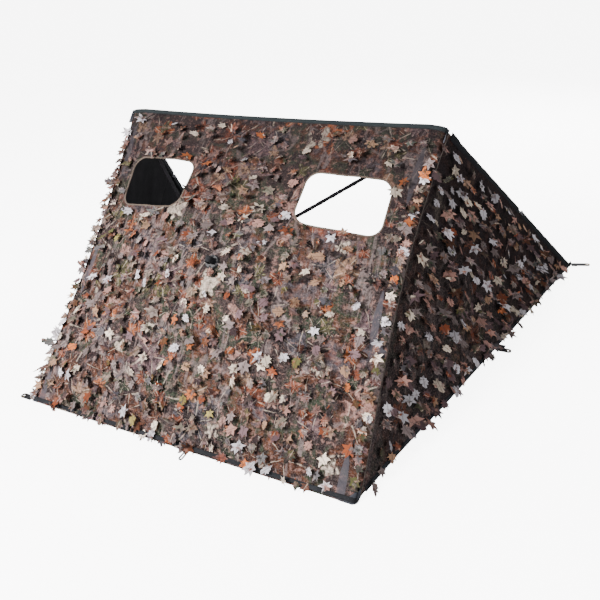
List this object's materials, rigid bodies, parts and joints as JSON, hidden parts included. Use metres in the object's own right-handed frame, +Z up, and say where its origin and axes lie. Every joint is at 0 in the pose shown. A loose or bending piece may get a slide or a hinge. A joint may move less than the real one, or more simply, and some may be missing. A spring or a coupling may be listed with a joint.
{
  "type": "ground blind",
  "caption": "Lean-to pop-up ground blind: camouflage front panel with windows, opened by a hub and fibreglass arms, propped by folding triangular wings",
  "frame": {"origin": "on the ground, under the middle of the blind's bounding box", "axes": "+Z up, +Y from the front panel towards the open back, +X along the ridge to the right as seen from in front"},
  "size_m": [2.6078, 2.053, 0.9965],
  "materials": {
    "camo_cloth": "leaf-print camouflage cloth with cut leaves sewn on, black inside",
    "dark_binding": "dark slate woven binding tape",
    "window_tape": "narrow grey-tan tape",
    "black_webbing": "black woven webbing",
    "dark_patch": "doubled dark cloth",
    "fibreglass": "dark slate pultruded fibreglass rod",
    "black_plastic": "moulded black nylon",
    "grey_metal": "plain cast metal ends",
    "bright_steel": "plated steel pins and screws",
    "grommet_metal": "blackened brass eyelets"
  },
  "bodies": {
    "front": {"front_panel_cloth": "camo_cloth", "ridge_binding": "dark_binding", "front_hem": "dark_binding", "seam_band_left": "camo_cloth", "seam_band_right": "camo_cloth", "window_binding_left": "window_tape", "window_binding_right": "window_tape", "top_corner_pockets": "dark_binding", "bottom_corner_pockets": "dark_binding", "front_stake_tabs": "black_webbing", "front_grommets": "grommet_metal", "front_loop": "black_webbing"},
    "hub": {"hub_body": "black_plastic", "hub_cap": "black_plastic", "hub_pins": "bright_steel", "hub_screws": "bright_steel", "hub_patch": "dark_patch", "pull_strap": "black_webbing"},
    "arm_top_left": {"arm_rod_top_left": "fibreglass", "arm_eye_top_left": "grey_metal", "arm_tip_top_left": "black_plastic"},
    "arm_top_right": {"arm_rod_top_right": "fibreglass", "arm_eye_top_right": "grey_metal", "arm_tip_top_right": "black_plastic"},
    "arm_bottom_left": {"arm_rod_bottom_left": "fibreglass", "arm_eye_bottom_left": "grey_metal", "arm_tip_bottom_left": "black_plastic"},
    "arm_bottom_right": {"arm_rod_bottom_right": "fibreglass", "arm_eye_bottom_right": "grey_metal", "arm_tip_bottom_right": "black_plastic"},
    "wing_left": {"wing_cloth_left": "camo_cloth", "wing_hem_left": "dark_binding", "wing_sleeve_left": "dark_binding", "wing_pole_left": "fibreglass", "knuckle_left": "grey_metal", "knuckle_pin_left": "bright_steel"},
    "wing_tip_left": {"tip_cloth_left": "camo_cloth", "tip_hem_left": "dark_binding", "tip_sleeve_left": "dark_binding", "tip_pole_left": "fibreglass", "tip_knuckle_left": "grey_metal", "pole_foot_left": "black_plastic", "wing_tabs_left": "black_webbing", "wing_grommets_left": "grommet_metal"},
    "wing_right": {"wing_cloth_right": "camo_cloth", "wing_hem_right": "dark_binding", "wing_sleeve_right": "dark_binding", "wing_pole_right": "fibreglass", "knuckle_right": "grey_metal", "knuckle_pin_right": "bright_steel"},
    "wing_tip_right": {"tip_cloth_right": "camo_cloth", "tip_hem_right": "dark_binding", "tip_sleeve_right": "dark_binding", "tip_pole_right": "fibreglass", "tip_knuckle_right": "grey_metal", "pole_foot_right": "black_plastic", "wing_tabs_right": "black_webbing", "wing_grommets_right": "grommet_metal"}
  },
  "joints": [
    {"name": "hub_pop", "type": "slide", "parent": "front", "child": "hub", "axis": [0, 0.7, -0.7142], "range_m": [0, 0.2]},
    {"name": "arm_top_left_fold", "type": "hinge", "parent": "hub", "child": "arm_top_left", "pos_m": [-0.03308, -0.51171, 0.5837], "axis": [0.6779, 0.525, 0.5146], "range_deg": [-0.5, 12.63]},
    {"name": "arm_top_right_fold", "type": "hinge", "parent": "hub", "child": "arm_top_right", "pos_m": [0.03308, -0.51171, 0.5837], "axis": [0.6779, -0.525, -0.5146], "range_deg": [-0.5, 12.63]},
    {"name": "arm_bottom_left_fold", "type": "hinge", "parent": "hub", "child": "arm_bottom_left", "pos_m": [-0.03308, -0.55528, 0.54099], "axis": [-0.6779, 0.525, 0.5146], "range_deg": [-0.5, 12.63]},
    {"name": "arm_bottom_right_fold", "type": "hinge", "parent": "hub", "child": "arm_bottom_right", "pos_m": [0.03308, -0.55528, 0.54099], "axis": [-0.6779, -0.525, -0.5146], "range_deg": [-0.5, 12.63]},
    {"name": "wing_left_fold", "type": "hinge", "parent": "front", "child": "wing_left", "pos_m": [-0.75, -0.45804, 0.47108], "axis": [0, -0.7142, -0.7], "range_deg": [-70, 98]},
    {"name": "wing_tip_left_fold", "type": "hinge", "parent": "wing_left", "child": "wing_tip_left", "pos_m": [-0.98473, 0.50482, 0.47244], "axis": [0, 0.7142, 0.7], "range_deg": [0, 130]},
    {"name": "wing_right_fold", "type": "hinge", "parent": "front", "child": "wing_right", "pos_m": [0.75, -0.45804, 0.47108], "axis": [0, 0.7142, 0.7], "range_deg": [-70, 98]},
    {"name": "wing_tip_right_fold", "type": "hinge", "parent": "wing_right", "child": "wing_tip_right", "pos_m": [0.98473, 0.50482, 0.47244], "axis": [0, -0.7142, -0.7], "range_deg": [0, 130]}
  ],
  "couplings": [
    {"joint": "arm_top_left_fold", "follows": "hub_pop", "rad_per_m": 1.0585},
    {"joint": "arm_top_right_fold", "follows": "hub_pop", "rad_per_m": 1.0585},
    {"joint": "arm_bottom_left_fold", "follows": "hub_pop", "rad_per_m": 1.0585},
    {"joint": "arm_bottom_right_fold", "follows": "hub_pop", "rad_per_m": 1.0585}
  ]
}
